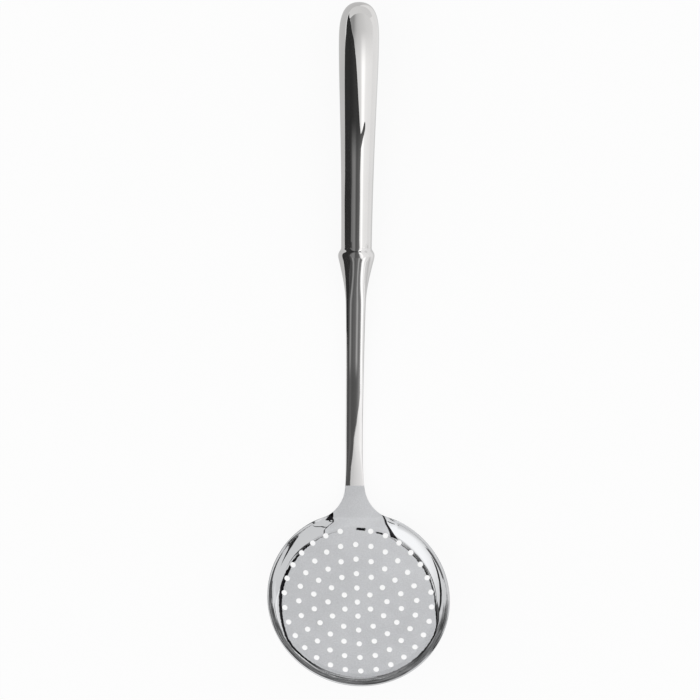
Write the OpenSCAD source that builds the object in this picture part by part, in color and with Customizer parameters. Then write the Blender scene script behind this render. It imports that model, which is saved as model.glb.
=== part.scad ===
// Kitchen skimmer: a shallow pierced bowl on a bent flat shank with a hollow round grip.
// It lies as on a table, hollow side up: +Y runs to the butt of the grip, -Y to the tip.

/* [Grip] */
// Length of the hollow grip, butt to bolster
grip_len = 134.5; // [110:0.5:160]
// Largest diameter, near the butt
grip_d = 22; // [18:0.5:26]
// Diameter where the grip meets the bolster
grip_end_d = 16.8; // [15:0.2:18]
// Wall of the two pressed shells
grip_wall = 1; // [0.8:0.1:1.4]

/* [Bolster and shank] */
// Diameter of the rounded collar
collar_d = 20; // [19:0.2:23]
// Length of the collar with its cove
collar_len = 6.5; // [5.5:0.5:8]
// Length of the cone that fades into the shank
cone_len = 25; // [18:1:32]
// Length of the straight shank after the cone
shank_len = 60; // [40:1:80]
// Width of the shank at its slimmest
shank_w = 9.3; // [8:0.1:11]
// Thickness of the shank at its slimmest
shank_t = 3.2; // [2.6:0.1:4]
// Length of the bend between the shank and the weld
bend_len = 40; // [32:1:50]
// Length of the round tang inside the grip
tang_len = 26; // [16:1:40]

/* [Bowl] */
// Outer diameter of the bowl
bowl_d = 100; // [99:1:106]
// Diameter of the dished floor inside the wall
floor_d = 83.8; // [83.8:0.2:86]
// Thickness of the pressed sheet
sheet = 1.5; // [1.2:0.1:1.8]
// Radius to which the floor is dished
dish_r = 203; // [160:1:260]
// Steepness of the wall outside the floor
wall_slope = 35; // [30:1:40]
// Angle between the bowl's rim plane and the grip's axis
head_angle = 27; // [20:0.5:30]

/* [Neck] */
// Radius of the fillets that flare the neck into the rim
flare_r = 20; // [16:0.5:22]
// Angle between the neck's middle and the point where the flare meets the rim
flare_angle = 21.1; // [20:0.1:23]
// Slope of the gentle ramp that replaces the wall at the neck
ramp_slope = 20; // [18:1:24]
// Slope of the flat tongue beyond the fold, against the rim plane
tongue_slope = 10; // [6:1:12]
// Distance from the bowl's centre to the fold across the neck
fold_at = 47; // [46:0.5:49]

/* [Drain holes] */
// Diameter of each hole
hole_d = 3; // [2.4:0.1:3]
// Spacing of the rings of holes, and nearly of the holes in a ring
hole_pitch = 8.1; // [7.8:0.05:8.1]
// Rings around the centre hole
hole_rings = 5; // [3:1:5]

/* [Hidden] */
$fn = 96;

// Half sizes used all over
grip_r = grip_d / 2;
grip_end_r = grip_end_d / 2;
collar_r = collar_d / 2;
rim_r = bowl_d / 2;

// Distances along the grip's axis, counted from the butt
dome_len = 20;
spigot_len = 7;
collar_end = grip_len + collar_len;
cone_end = collar_end + cone_len;
bend_start = cone_end + shank_len;
weld_at = bend_start + bend_len;

// Cubic curve through four control points, and the same as a list of points
function curve_at(p, t) = pow(1 - t, 3) * p[0] + 3 * t * pow(1 - t, 2) * p[1]
    + 3 * t * t * (1 - t) * p[2] + pow(t, 3) * p[3];
function curve(p, steps, first = 0) = [for (i = [first : steps]) curve_at(p, i / steps)];
function mix(a, b, t) = a + (b - a) * t;
function ease(t) = t <= 0 ? 0 : t >= 1 ? 1 : t * t * (3 - 2 * t);

// Grip outline as [radius, distance from the butt]: a blunt dome, then a long hollow taper
function dome_line(r, start) = [[0, start], [0.84 * r, start], [r, 9 + start / 5], [r, dome_len]];
function taper_line(r, end_r, end) = [[r, dome_len], [r, 44], [end_r + 0.35, 74], [end_r, end]];
seat_r = grip_end_r - grip_wall;
grip_outer = concat(
    curve(dome_line(grip_r, 0), 14),
    curve(taper_line(grip_r, grip_end_r, grip_len), 22, 1));
grip_inner = concat(
    curve(dome_line(grip_r - grip_wall, grip_wall), 14),
    curve(taper_line(grip_r - grip_wall, seat_r, grip_len - spigot_len), 22, 1),
    [[seat_r, grip_len]]);

// Collar outline as [radius, distance from the butt]: cove, shoulder, then a belt with an edge
crown_at = collar_end - 0.8;
collar_line = concat(
    curve([[grip_end_r, grip_len], [grip_end_r, grip_len + 0.9],
        [grip_end_r + 0.1, grip_len + 1.1], [grip_end_r + 0.5, grip_len + 1.3]], 5),
    curve([[grip_end_r + 0.5, grip_len + 1.3], [collar_r - 0.8, grip_len + 2],
        [collar_r - 0.5, grip_len + 2.3], [collar_r - 0.35, grip_len + 2.7]], 5, 1),
    curve([[collar_r - 0.35, grip_len + 2.7], [collar_r - 0.15, grip_len + 3.8],
        [collar_r, crown_at - 0.9], [collar_r, crown_at]], 4, 1),
    [[collar_r - 0.2, collar_end]]);

// Head frame: origin on the floor's centre, +Y to the grip, +Z out of the hollow.
// Top line of the sheet as [radius, height, slope], floor first, then fillet, wall and lip.
edge_r = floor_d / 2;
edge_slope = asin(edge_r / dish_r);
fillet_r = 3.8;
fillet_end_r = edge_r + fillet_r * (sin(wall_slope) - sin(edge_slope));
lip_slope = 4;
lip_start_r = rim_r - 4.4;
lip_r = (rim_r - lip_start_r) / (sin(wall_slope) - sin(lip_slope));
function floor_z(r) = dish_r - sqrt(dish_r * dish_r - r * r);
function fillet_z(slope) = floor_z(edge_r) + fillet_r * (cos(edge_slope) - cos(slope));
lip_start_z = fillet_z(wall_slope) + (lip_start_r - fillet_end_r) * tan(wall_slope);
function lip_point(slope) = [rim_r - lip_r * (sin(slope) - sin(lip_slope)),
    lip_start_z + lip_r * (cos(slope) - cos(wall_slope)), slope];
sheet_line = concat(
    [[0, 0, 0]],
    [for (k = [0 : 4]) let (r = (k + 0.5) * hole_pitch) [r, floor_z(r), asin(r / dish_r)]],
    [for (i = [0 : 4]) let (a = mix(edge_slope, wall_slope, i / 4))
        [edge_r + fillet_r * (sin(a) - sin(edge_slope)), fillet_z(a), a]],
    [for (i = [0 : 7]) lip_point(mix(wall_slope, lip_slope, i / 7))]);
top_line = [for (p = sheet_line) [p[0], p[1]]];
under_line = [for (p = sheet_line)
    [min(rim_r, p[0] + sheet * sin(p[2])), p[1] - sheet * cos(p[2])]];

// Neck: inside the fan the wall fades into a ramp, a straight fold and the flat tongue
fan_angle = 30;
flat_angle = 12;
fan_r = edge_r + 0.5;
flare_x = (rim_r + flare_r) * sin(flare_angle);
flare_y = (rim_r + flare_r) * cos(flare_angle);
tongue_end = flare_y - 1;
tongue_half_w = flare_x - sqrt(flare_r * flare_r - 1);
function height(line, r) = lookup(min(r, rim_r), line);
function neck_run(r, y) = mix(r, y, ease((r - fan_r) / (fold_at - fan_r)));
function neck_rise(run) = (min(run, fold_at) - fan_r) * tan(ramp_slope)
    + max(0, run - fold_at) * tan(tongue_slope);
function wall_share(x, y) = ease((abs(atan2(x, y)) - flat_angle) / (fan_angle - flat_angle));
function neck_height(line, x, y) = let (r = norm([x, y]))
    mix(height(line, min(r, fan_r)) + neck_rise(neck_run(max(r, fan_r), y)),
        height(line, r), wall_share(x, y));

// Columns of the neck's grid as [angle of the inner end, outer end]. The grid runs on a little
// inside the dish, a hair thinner than it, so that the two join into one sheet.
lap = 0.35;
lap_angle = 0.5;
hair = 0.03;
rim_columns = 5;
flare_columns = 8;
tongue_columns = 4;
neck_rows = 13;
function on_circle(r, a) = [r * sin(a), r * cos(a)];
function rim_column(a) = [a, on_circle(rim_r - hair, a)];
flare_end_angle = acos(1 / flare_r);
function flare_column(t) = let (a = mix(90 - flare_angle, flare_end_angle - 90, t))
    [mix(flare_angle, asin(tongue_half_w / fan_r), t),
        [flare_x - flare_r * cos(a), flare_y - flare_r * sin(a)]];
function tongue_column(x) = [asin(x / fan_r), [x, tongue_end]];
right_columns = concat(
    [for (i = [0 : rim_columns]) rim_column(mix(fan_angle + lap_angle, flare_angle, i / rim_columns))],
    [for (i = [1 : flare_columns]) flare_column(i / flare_columns)],
    [for (i = [1 : tongue_columns]) tongue_column(tongue_half_w * (1 - i / tongue_columns))]);
last_right = len(right_columns) - 1;
neck_columns = concat(right_columns,
    [for (i = [1 : last_right]) let (c = right_columns[last_right - i]) [-c[0], [-c[1][0], c[1][1]]]]);
function neck_column(c) = concat([on_circle(fan_r - lap, c[0])],
    [for (j = [0 : neck_rows - 1]) mix(on_circle(fan_r, c[0]), c[1], j / (neck_rows - 1))]);

// Where the head sits on the shank: the tongue's middle meets the end of the bend
tongue_angle = head_angle - tongue_slope;
bend_r = bend_len / sin(tongue_angle);
weld_h = bend_r * (1 - cos(tongue_angle));
weld_z = (neck_height(top_line, 0, tongue_end) + neck_height(under_line, 0, tongue_end)) / 2;
head_s = weld_at + tongue_end * cos(head_angle) + weld_z * sin(head_angle);
head_h = weld_h + tongue_end * sin(head_angle) - weld_z * cos(head_angle);

// Shank sections as [distance, half width, half thickness], from the collar to the weld
half_w = shank_w / 2;
half_t = shank_t / 2;
cone_sections = [[collar_end, collar_r - 0.3, collar_r - 0.3],
    [collar_end + 8.5, 7.7, 6.6],
    [cone_end - 9, 5.75, 2.6],
    [cone_end, half_w + 0.85, half_t + 0.65]];
straight_sections = [cone_sections[3],
    [cone_end + 24, half_w + 0.25, half_t + 0.05],
    [bend_start - 8, half_w + 0.08, half_t],
    [bend_start + 20, half_w, half_t]];
end_sections = [straight_sections[3],
    [bend_start + 30, half_w, half_t],
    [weld_at - 5, half_w + 0.2, mix(half_t, sheet / 2, 0.6)],
    [weld_at, tongue_half_w, sheet / 2]];
shank_sections = concat([[collar_end - 0.6, collar_r - 0.4, collar_r - 0.4]],
    curve(cone_sections, 16), curve(straight_sections, 14, 1), curve(end_sections, 10, 1));
section_points = 40;
section_step = 360 / section_points;

// Middle of the shank at a distance from the butt, and the lean of its section there
function bend_angle(s) = s <= bend_start ? 0 : asin((s - bend_start) / bend_r);
function shank_h(s) = s <= bend_start ? 0 : bend_r * (1 - cos(bend_angle(s)));
function section_lean(s) = mix(bend_angle(s), head_angle, ease((s - weld_at + 12) / 12));
function squareness(s) = mix(2, 5, ease((s - weld_at + 24) / 24));
function soft(v, power) = sign(v) * pow(abs(v), 2 / power);
function section_ring(q) = let (lean = section_lean(q[0]), power = squareness(q[0]))
    [for (i = [0 : section_points - 1])
        let (x = q[1] * soft(cos(i * section_step), power),
            v = q[2] * soft(sin(i * section_step), power))
        [x, -q[0] + v * sin(lean), shank_h(q[0]) + v * cos(lean)]];

// How the whole object lies: the bowl's weight keeps the collar and the bend on the table
function under_point(q) = [q[0] + q[2] * sin(section_lean(q[0])),
    shank_h(q[0]) - q[2] * cos(section_lean(q[0]))];
under_points = [for (q = shank_sections) if (q[0] > cone_end) under_point(q)];
rest_tilt = min([for (p = under_points) atan2(p[1] + collar_r, p[0] - crown_at)]);
function lay(s, h) = [-s * cos(rest_tilt) - h * sin(rest_tilt),
    -s * sin(rest_tilt) + h * cos(rest_tilt)];
function tip_y(line) = lay(head_s + rim_r * cos(head_angle) - line[len(line) - 1][1] * sin(head_angle),
    head_h + rim_r * sin(head_angle) + line[len(line) - 1][1] * cos(head_angle))[0];
far_y = min(tip_y(top_line), tip_y(under_line));
butt_y = max([for (p = grip_outer) max(lay(p[1], p[0])[0], lay(p[1], -p[0])[0])]);
table_z = lay(crown_at, -collar_r)[1];

// Places a shape drawn about the grip's axis, butt at the origin and bowl towards -Y
module at_rest()
    translate([0, -(butt_y + far_y) / 2, -table_z])
        rotate([rest_tilt, 0, 0])
            children();

// Revolves an outline of [radius, distance from the butt] about the grip's axis
module turned(outline, angle = 360)
    rotate([90, 0, 0])
        rotate_extrude(angle = angle)
            polygon(outline);

// Places a shape drawn in the head frame
module on_head()
    translate([0, -head_s, head_h])
        rotate([-head_angle, 0, 0])
            children();

// Closed skin over rings of points that all have the same count
module skin(rings) {
    n = len(rings[0]);
    last = len(rings) - 1;
    walls = [for (j = [0 : last - 1]) for (i = [0 : n - 1])
        let (a = j * n + i, b = j * n + (i + 1) % n)
            each [[a, a + n, b + n], [a, b + n, b]]];
    first_cap = [for (i = [0 : n - 1]) i];
    last_cap = [for (i = [n - 1 : -1 : 0]) last * n + i];
    polyhedron(points = [for (r = rings) each r], faces = concat(walls, [first_cap, last_cap]));
}

// The pressed sheet turned about the bowl's axis, floor, wall and lip
module dish()
    rotate_extrude()
        polygon(concat(top_line, [for (i = [len(under_line) - 1 : -1 : 0]) under_line[i]]));

// Rings of round holes; the outer ring leaves out the hole at the neck
module drain_holes()
    for (ring = [0 : hole_rings])
        let (count = max(1, 6 * ring), first = ring == hole_rings ? 1 : 0)
            for (i = [first : count - 1])
                rotate([0, 0, 90 + i * 360 / count])
                    translate([ring * hole_pitch, 0, -2 * sheet])
                        cylinder(d = hole_d, h = 8 * sheet, $fn = 32);

// Sector of the dish that the neck takes the place of, cut with flat faces across the neck's lap
module fan_cut() {
    flats = 9;
    linear_extrude(height = bowl_d)
        polygon(concat(
            [for (i = [0 : flats]) on_circle(fan_r + lap / 3, fan_angle * (2 * i / flats - 1))],
            [on_circle(bowl_d, fan_angle), on_circle(bowl_d, -fan_angle)]));
}

// Ramp, fold and flat tongue as one grid of sheet, cut to the flared outline
module neck() {
    rows = neck_rows;
    columns = len(neck_columns);
    plan = [for (c = neck_columns) each neck_column(c)];
    tops = [for (p = plan) [p[0], p[1], neck_height(top_line, p[0], p[1]) - hair]];
    unders = [for (p = plan) [p[0], p[1], neck_height(under_line, p[0], p[1]) + hair]];
    under = len(plan);
    n = rows + 1;
    sheets = [for (c = [0 : columns - 2]) for (j = [0 : rows - 1])
        let (a = c * n + j, b = a + n)
            each [[a, b, b + 1], [a, b + 1, a + 1],
                [under + a, under + b + 1, under + b], [under + a, under + a + 1, under + b + 1]]];
    inner_edge = [for (c = [0 : columns - 2]) let (a = c * n, b = a + n)
        each [[a, under + a, under + b], [a, under + b, b]]];
    outer_edge = [for (c = [0 : columns - 2]) let (a = c * n + rows, b = a + n)
        each [[a, b, under + b], [a, under + b, under + a]]];
    side_edges = [for (j = [0 : rows - 1]) let (a = j, b = (columns - 1) * n + j)
        each [[a, a + 1, under + a + 1], [a, under + a + 1, under + a],
            [b, under + b + 1, b + 1], [b, under + b, under + b + 1]]];
    polyhedron(points = concat(tops, unders),
        faces = concat(sheets, inner_edge, outer_edge, side_edges));
}

module bowl() {
    color("gainsboro")
        at_rest()
            on_head() {
                difference() {
                    dish();
                    drain_holes();
                    fan_cut();
                }
                neck();
            }
}

// Solid forging: tang and spigot inside the grip, collar, cone and flat bent shank
module shank() {
    tang_r = 4;
    tang_start = grip_len - spigot_len - tang_len;
    core = concat(
        [[0, tang_start], [tang_r - 1, tang_start], [tang_r, tang_start + 1],
            [tang_r, grip_len - spigot_len], [seat_r, grip_len - spigot_len], [seat_r, grip_len]],
        collar_line,
        [[0, collar_end]]);
    color("silver")
        at_rest() {
            turned(core);
            skin([for (q = shank_sections) section_ring(q)]);
        }
}

// Half of the hollow grip, pressed from sheet; the two meet along both sides
module grip_shell()
    turned(concat(grip_outer, [for (i = [len(grip_inner) - 1 : -1 : 0]) grip_inner[i]]), 180);

module grip_front_shell() {
    color("whitesmoke")
        at_rest()
            grip_shell();
}

module grip_rear_shell() {
    color("lightgray")
        at_rest()
            rotate([0, 180, 0])
                grip_shell();
}

bowl();
shank();
grip_front_shell();
grip_rear_shell();
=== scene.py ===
from math import acos, asin, atan2, cos, degrees, hypot, pi, radians, sin, sqrt, tan

import bpy
from mathutils import Matrix, Vector


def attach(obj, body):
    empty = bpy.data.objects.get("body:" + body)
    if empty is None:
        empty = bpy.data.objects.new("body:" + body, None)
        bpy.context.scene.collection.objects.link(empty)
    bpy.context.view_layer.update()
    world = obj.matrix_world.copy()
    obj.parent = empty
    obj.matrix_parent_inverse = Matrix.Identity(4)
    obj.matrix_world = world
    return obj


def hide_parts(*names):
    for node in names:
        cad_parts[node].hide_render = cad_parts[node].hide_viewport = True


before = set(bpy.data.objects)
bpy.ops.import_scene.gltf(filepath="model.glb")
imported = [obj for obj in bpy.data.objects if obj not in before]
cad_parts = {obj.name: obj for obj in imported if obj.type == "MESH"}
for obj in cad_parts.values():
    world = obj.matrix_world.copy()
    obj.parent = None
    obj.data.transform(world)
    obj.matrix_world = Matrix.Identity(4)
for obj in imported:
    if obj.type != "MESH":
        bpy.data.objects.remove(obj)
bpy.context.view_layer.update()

mm = 0.001
scene = bpy.context.scene


# ---- small helpers used by every piece

def startAlone():
    if bpy.context.object and bpy.context.object.mode != "OBJECT":
        bpy.ops.object.mode_set(mode="OBJECT")
    bpy.ops.object.select_all(action="DESELECT")


def openMesh(piece, mode="FACE"):
    startAlone()
    piece.select_set(True)
    bpy.context.view_layer.objects.active = piece
    bpy.ops.object.mode_set(mode="EDIT")
    bpy.ops.mesh.select_mode(type=mode)
    bpy.ops.mesh.select_all(action="DESELECT")


def closeMesh():
    bpy.ops.object.mode_set(mode="OBJECT")


def applyModifier(piece, kind, **settings):
    startAlone()
    piece.select_set(True)
    bpy.context.view_layer.objects.active = piece
    bpy.ops.object.modifier_add(type=kind)
    modifier = piece.modifiers[-1]
    for name, value in settings.items():
        setattr(modifier, name, value)
    bpy.ops.object.modifier_apply(modifier=modifier.name)


def mix(a, b, t):
    return a + (b - a) * t


def ease(t):
    return 0 if t <= 0 else 1 if t >= 1 else t * t * (3 - 2 * t)


def curvePoints(corners, steps, first=0):  # cubic curve through four corners
    points = []
    for i in range(first, steps + 1):
        t = i / steps
        share = ((1 - t) ** 3, 3 * t * (1 - t) ** 2, 3 * t * t * (1 - t), t ** 3)
        points.append(tuple(sum(w * c[k] for w, c in zip(share, corners)) for k in range(len(corners[0]))))
    return points


def placeKey(v):
    return (round(v[0] * 1e7), round(v[1] * 1e7), round(v[2] * 1e7))


# ---- how the skimmer lies: the same numbers as the solid model, in mm and degrees

lie = {
    "gripEnd": 134.5, "crown": 140.2, "collarEnd": 141.0, "coneEnd": 166.0,
    "bendStart": 226.0, "weld": 266.0, "collarRadius": 10.0,
    "headAngle": 27.0, "tongueAngle": 17.0,
    "tilt": 5.2113, "middle": -185.991, "table": -22.693,
    "headAlong": 327.137, "headUp": 27.638,
}
lie["bendRadius"] = (lie["weld"] - lie["bendStart"]) / sin(radians(lie["tongueAngle"]))

toRest = (Matrix.Translation((0, -lie["middle"] * mm, -lie["table"] * mm))
          @ Matrix.Rotation(radians(lie["tilt"]), 4, "X"))
toHead = (toRest @ Matrix.Translation((0, -lie["headAlong"] * mm, lie["headUp"] * mm))
          @ Matrix.Rotation(-radians(lie["headAngle"]), 4, "X"))


# ---- grip: two pressed shells with a hollow inside

gripShape = {
    "length": 134.5, "radius": 11.0, "endRadius": 8.4, "wall": 1.0,
    "domeLength": 20.0, "spigot": 7.0, "softEdge": 0.05,
    "domeSteps": 22, "taperSteps": 40, "spinSteps": 144,
}


def gripOutline(g):
    def line(radius, endRadius, start, end):
        dome = [(0, start), (0.84 * radius, start), (radius, 9 + start / 5), (radius, g["domeLength"])]
        taper = [(radius, g["domeLength"]), (radius, 44), (endRadius + 0.35, 74), (endRadius, end)]
        return curvePoints(dome, g["domeSteps"]) + curvePoints(taper, g["taperSteps"], 1)
    soft = g["softEdge"]
    seat = g["endRadius"] - g["wall"]
    outside = line(g["radius"], g["endRadius"], 0, g["length"] - soft)
    corner = [(g["endRadius"] - soft * (1 - cos(a)), g["length"] - soft * (1 - sin(a)))
              for a in (radians(30), radians(60), radians(90))]
    inside = line(g["radius"] - g["wall"], seat, g["wall"], g["length"] - g["spigot"]) + [(seat, g["length"])]
    return outside + corner + inside[::-1]


def drawAndSpin(name, outline, steps):
    startAlone()
    bpy.ops.mesh.primitive_plane_add(size=0.001, location=(0, 0, 0))
    piece = bpy.context.object
    piece.name = name
    openMesh(piece, "VERT")
    bpy.ops.mesh.select_all(action="SELECT")
    bpy.ops.mesh.merge(type="CENTER")
    bpy.ops.transform.translate(value=(outline[0][0] * mm, -outline[0][1] * mm, 0))
    for a, b in zip(outline, outline[1:]):  # the outline is drawn by extruding one vertex
        step = ((b[0] - a[0]) * mm, (a[1] - b[1]) * mm, 0)
        bpy.ops.mesh.extrude_region_move(TRANSFORM_OT_translate={"value": step})
    bpy.ops.mesh.select_all(action="SELECT")
    bpy.ops.mesh.spin(steps=steps, angle=2 * pi, center=(0, 0, 0), axis=(0, 1, 0))
    bpy.ops.mesh.select_all(action="SELECT")
    bpy.ops.mesh.remove_doubles(threshold=0.000002)
    bpy.ops.mesh.normals_make_consistent(inside=False)
    closeMesh()
    bpy.ops.object.shade_smooth_by_angle(angle=radians(40))
    return piece


def cutShell(whole, name, keepUpper):
    startAlone()
    whole.select_set(True)
    bpy.context.view_layer.objects.active = whole
    bpy.ops.object.duplicate()
    half = bpy.context.object
    half.name = name
    openMesh(half)
    bpy.ops.mesh.select_all(action="SELECT")
    bpy.ops.mesh.bisect(plane_co=(0, 0, 0), plane_no=(0, 0, 1), use_fill=True,
                        clear_inner=keepUpper, clear_outer=not keepUpper)
    closeMesh()
    bpy.ops.object.shade_smooth_by_angle(angle=radians(40))
    smooth = {}  # shading of the uncut grip, so that the ground seam doesn't show as a fold
    for face in whole.data.polygons:
        for k in face.loop_indices:
            v = whole.data.vertices[whole.data.loops[k].vertex_index].co
            smooth[placeKey(face.center), placeKey(v)] = whole.data.corner_normals[k].vector.copy()
    normals = []
    found = 0
    for face in half.data.polygons:
        for k in face.loop_indices:
            v = half.data.vertices[half.data.loops[k].vertex_index].co
            n = smooth.get((placeKey(face.center), placeKey(v)))
            found += n is not None
            normals.append(n or face.normal.copy())
    half.data.normals_split_custom_set(normals)
    print("shell", name, len(half.data.polygons), "faces,", len(normals) - found, "corners on the seam")
    return half


wholeGrip = drawAndSpin("gripWhole", gripOutline(gripShape), gripShape["spinSteps"])
gripFront = cutShell(wholeGrip, "gripFront", True)
gripRear = cutShell(wholeGrip, "gripRear", False)
bpy.data.objects.remove(wholeGrip)
print("grip shells modelled")


# ---- shank: one forging, lofted straight along its axis and bent afterwards

shankShape = {
    "points": 96, "tangRadius": 4.0, "tangLength": 26.0, "spigot": 7.0, "seatRadius": 7.4,
    "halfWidth": 4.65, "halfThickness": 1.6, "tongueHalfWidth": 5.223, "tongueHalfThickness": 0.75,
    "softEdge": 0.05, "coneSteps": 36, "straightSteps": 24, "endSteps": 36,
}


def shankSections(s):
    # [distance from the butt, half width, half thickness]
    end, grip = lie["collarEnd"], lie["gripEnd"]
    tangStart = grip - s["spigot"] - s["tangLength"]
    g, c, soft = gripShape["endRadius"], lie["collarRadius"], s["softEdge"]
    turned = [(tangStart, s["tangRadius"] - 1), (tangStart + 1, s["tangRadius"]),
              (grip - s["spigot"], s["tangRadius"]), (grip - s["spigot"], s["seatRadius"]),
              (grip, s["seatRadius"]), (grip, g - soft), (grip + soft / 2, g - soft / 4), (grip + soft, g)]
    crown, middle = lie["crown"] - 1.2, (grip + 1.9, g + 0.7)
    collar = (curvePoints([(grip + soft, g), (grip + 0.8, g), (grip + 1.1, g + 0.15), middle], 10, 1)
              + curvePoints([middle, (grip + 2.8, c - 0.28), (crown - 1, c), (crown, c)], 10, 1))
    hw, ht = s["halfWidth"], s["halfThickness"]
    coneCorners = [(end, c - 0.3, c - 0.3), (end + 8.5, 7.7, 6.6),
                   (lie["coneEnd"] - 9, 5.75, 2.6), (lie["coneEnd"], hw + 0.85, ht + 0.65)]
    straightCorners = [coneCorners[3], (lie["coneEnd"] + 24, hw + 0.25, ht + 0.05),
                       (lie["bendStart"] - 8, hw + 0.08, ht), (lie["bendStart"] + 20, hw, ht)]
    endCorners = [straightCorners[3], (lie["bendStart"] + 30, hw, ht),
                  (lie["weld"] - 5, hw + 0.2, mix(ht, s["tongueHalfThickness"], 0.6)),
                  (lie["weld"], s["tongueHalfWidth"], s["tongueHalfThickness"])]
    cone = curvePoints(coneCorners, s["coneSteps"])
    joined, further = cone[3], cone[4]  # the round of the collar runs into the cone here
    slope = [(f - j) / (further[0] - joined[0]) for j, f in zip(joined, further)]
    shoulder = [(crown, c, c), (crown + 1.3, c, c), tuple(j - 1.3 * k for j, k in zip(joined, slope)), joined]
    return ([(a, r, r) for a, r in turned + collar]
            + curvePoints(shoulder, 12, 1) + cone[4:]
            + curvePoints(straightCorners, s["straightSteps"], 1)
            + curvePoints(endCorners, s["endSteps"], 1))


def bendAngle(s):
    return 0 if s <= lie["bendStart"] else asin(min(1, (s - lie["bendStart"]) / lie["bendRadius"]))


def shankUp(s):
    return 0 if s <= lie["bendStart"] else lie["bendRadius"] * (1 - cos(bendAngle(s)))


def loftShank(s):
    sections = shankSections(s)
    startAlone()
    bpy.ops.mesh.primitive_circle_add(vertices=s["points"], radius=sections[0][1] * mm, fill_type="NGON",
                                      location=(0, 0, 0), rotation=(radians(90), 0, 0))
    piece = bpy.context.object
    piece.name = "shankForging"
    bpy.ops.object.transform_apply(location=True, rotation=True, scale=True)
    openMesh(piece)
    bpy.ops.mesh.select_all(action="SELECT")
    bpy.ops.transform.translate(value=(0, -sections[0][0] * mm, 0))
    for a, b in zip(sections, sections[1:]):
        bpy.ops.mesh.extrude_region_move(TRANSFORM_OT_translate={"value": (0, (a[0] - b[0]) * mm, 0)})
        bpy.ops.transform.resize(value=(b[1] / a[1], 1, b[2] / a[2]), center_override=(0, -b[0] * mm, 0))
    closeMesh()
    return piece, sections


def bendShank(piece, sections):
    halfSizes = {}
    for s, w, t in sections:
        halfSizes.setdefault(round(s * 1000), (w, t))
    top = lie["headAngle"]
    for v in piece.data.vertices:
        s = -v.co.y / mm
        if s < lie["collarEnd"] + 0.01:
            continue
        w, t = halfSizes[min(halfSizes, key=lambda k: abs(k - s * 1000))]
        power = 2 + 3 * ease((s - lie["weld"] + 24) / 24)  # the oval squares up towards the flat tongue
        x, z = v.co.x / mm / w, v.co.z / mm / t
        x = w * (1 if x > 0 else -1) * abs(x) ** (2 / power)
        z = t * (1 if z > 0 else -1) * abs(z) ** (2 / power)
        lean = mix(degrees(bendAngle(s)), top, ease((s - lie["weld"] + 12) / 12))
        v.co = Vector((x, -s + z * sin(radians(lean)), shankUp(s) + z * cos(radians(lean)))) * mm


shankForging, sections = loftShank(shankShape)
bendShank(shankForging, sections)
openMesh(shankForging)
bpy.ops.mesh.select_all(action="SELECT")
bpy.ops.mesh.normals_make_consistent(inside=False)
closeMesh()
bpy.ops.object.shade_smooth_by_angle(angle=radians(28))
print("shank lofted and bent", len(shankForging.data.vertices), "vertices")


# ---- bowl: a flat blank is cut to its outline and punched, then pressed to its form

bowlShape = {
    "rim": 50.0, "floor": 41.9, "sheet": 1.5, "dishRadius": 203.0,
    "filletWidth": 1.395, "steepSlope": 38.0, "wallSlope": 32.0, "lipSlope": 4.0, "lipWidth": 4.4,
    "flareRadius": 20.0, "flareAngle": 21.1, "fanAngle": 30, "flatAngle": 12,
    "rampSlope": 20.0, "tongueSlope": 10.0, "fold": 47.0, "columns": 360,
    "holeRadius": 1.5, "holePitch": 8.1, "holeRings": 5, "holePoints": 36, "softEdge": 0.12, "breakOut": 0.4,
    "edgeSoft": 0.3,
}


def degSin(a):
    return sin(radians(a))


def degCos(a):
    return cos(radians(a))


b = bowlShape
b["floorSlope"] = degrees(asin(b["floor"] / b["dishRadius"]))
b["filletEnd"] = b["floor"] + b["filletWidth"]
b["filletRadius"] = b["filletWidth"] / (degSin(b["steepSlope"]) - degSin(b["floorSlope"]))
b["lipStart"] = b["rim"] - b["lipWidth"]
b["wallRadius"] = (b["lipStart"] - b["filletEnd"]) / (degSin(b["steepSlope"]) - degSin(b["wallSlope"]))
b["lipRadius"] = b["lipWidth"] / (degSin(b["wallSlope"]) - degSin(b["lipSlope"]))
b["floorEdgeUp"] = b["dishRadius"] - sqrt(b["dishRadius"] ** 2 - b["floor"] ** 2)
b["filletEndUp"] = b["floorEdgeUp"] + b["filletRadius"] * (degCos(b["floorSlope"]) - degCos(b["steepSlope"]))
b["lipStartUp"] = b["filletEndUp"] + b["wallRadius"] * (degCos(b["wallSlope"]) - degCos(b["steepSlope"]))
b["fan"] = b["floor"] + 0.5
b["flareX"] = (b["rim"] + b["flareRadius"]) * degSin(b["flareAngle"])
b["flareY"] = (b["rim"] + b["flareRadius"]) * degCos(b["flareAngle"])
b["tongueEnd"] = b["flareY"] - 1
b["tongueHalf"] = b["flareX"] - sqrt(b["flareRadius"] ** 2 - 1)


def dishUp(r, d):
    # height of the turned sheet at a radius; d is the depth below its top face
    r = min(r, b["rim"])
    if r <= b["floor"] + d * degSin(b["floorSlope"]):
        return b["dishRadius"] - sqrt((b["dishRadius"] + d) ** 2 - r * r)
    if r <= b["filletEnd"] + d * degSin(b["steepSlope"]):
        big = b["filletRadius"] + d
        s = degSin(b["floorSlope"]) + (r - b["floor"] - d * degSin(b["floorSlope"])) / big
        return b["floorEdgeUp"] + b["filletRadius"] * degCos(b["floorSlope"]) - big * sqrt(max(0, 1 - s * s))
    onWall = r <= b["lipStart"] + d * degSin(b["wallSlope"])
    start, up, slope, radius = ((b["filletEnd"], b["filletEndUp"], b["steepSlope"], b["wallRadius"]) if onWall
                                else (b["lipStart"], b["lipStartUp"], b["wallSlope"], b["lipRadius"]))
    big = radius - d
    s = degSin(slope) - (r - start - d * degSin(slope)) / big
    return up - radius * degCos(slope) + big * sqrt(max(0, 1 - s * s))


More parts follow.
